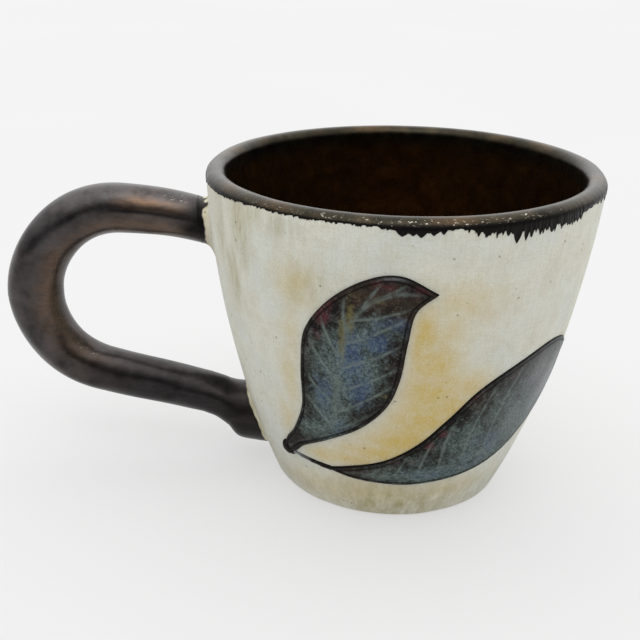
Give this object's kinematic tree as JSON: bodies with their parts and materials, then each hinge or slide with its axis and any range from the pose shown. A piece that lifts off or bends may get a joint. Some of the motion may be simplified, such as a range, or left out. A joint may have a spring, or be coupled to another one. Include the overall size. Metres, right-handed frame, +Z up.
{
  "type": "stoneware mug",
  "caption": "Flared hand-built stoneware mug with a thick looped coil handle, white slip outside, dark glaze inside and raised leaves on its front.",
  "frame": {"origin": "centre of the foot, on the resting plane", "axes": "+Z up along the cup's axis; the handle points towards -X; the leaves are on the front, which faces -Y"},
  "size_m": [0.161, 0.1052, 0.089],
  "materials": {
    "stoneware_clay": "matte",
    "liner_glaze": "satin",
    "white_engobe": "matte",
    "handle_glaze": "satin",
    "leaf_glaze": "satin"
  },
  "bodies": {
    "root": {"cup_wall": "stoneware_clay", "cup_floor": "stoneware_clay", "liner_glaze": "liner_glaze", "white_engobe": "white_engobe", "handle": "handle_glaze", "upper_handle_collar": "white_engobe", "lower_handle_collar": "white_engobe", "upper_leaf": "leaf_glaze", "lower_leaf": "leaf_glaze", "leaf_stem": "leaf_glaze", "leaf_bud": "leaf_glaze"}
  },
  "joints": []
}
